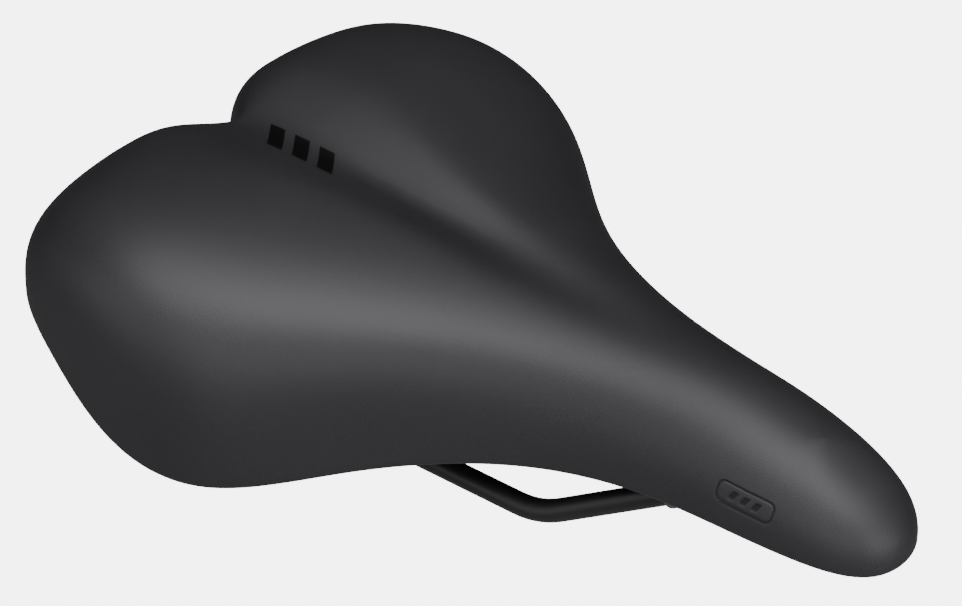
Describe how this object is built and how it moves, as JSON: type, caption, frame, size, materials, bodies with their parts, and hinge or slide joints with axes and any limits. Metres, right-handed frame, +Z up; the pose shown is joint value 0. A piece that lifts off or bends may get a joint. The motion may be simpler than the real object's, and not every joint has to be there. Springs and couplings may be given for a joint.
{
  "type": "bicycle saddle",
  "caption": "Padded leisure bicycle saddle with a grooved, notched tail, a long rounded nose and round steel rails for a seat post clamp.",
  "frame": {"origin": "midway between the two rails, at the middle of their straight clamp length, on their centreline", "axes": "+X forward to the nose along the rails, +Y to the rider's left, +Z up"},
  "size_m": [0.2666, 0.184, 0.0839],
  "materials": {
    "cover_leather": "matte satin",
    "seat_foam": "matte",
    "gel": "soft gloss",
    "base_plastic": "moulded, fine texture",
    "rail_paint": "gloss",
    "sleeve_nylon": "satin",
    "keeper_steel": "satin",
    "keeper_plastic": "satin",
    "screw_steel": "zinc plated",
    "staple_steel": "bright wire"
  },
  "bodies": {
    "root": {"cover": "cover_leather", "foam_pad": "seat_foam", "gel_pad_left": "gel", "gel_pad_right": "gel", "base_shell": "base_plastic", "rail_loop": "rail_paint", "rail_sleeve_right": "sleeve_nylon", "rail_sleeve_left": "sleeve_nylon", "nose_rail_sleeve": "sleeve_nylon", "rear_keeper_right": "keeper_steel", "rear_keeper_left": "keeper_steel", "rear_keeper_screws_right": "screw_steel", "rear_keeper_screws_left": "screw_steel", "nose_keeper": "keeper_plastic", "nose_keeper_screws": "screw_steel", "hem_staples": "staple_steel"}
  },
  "joints": []
}
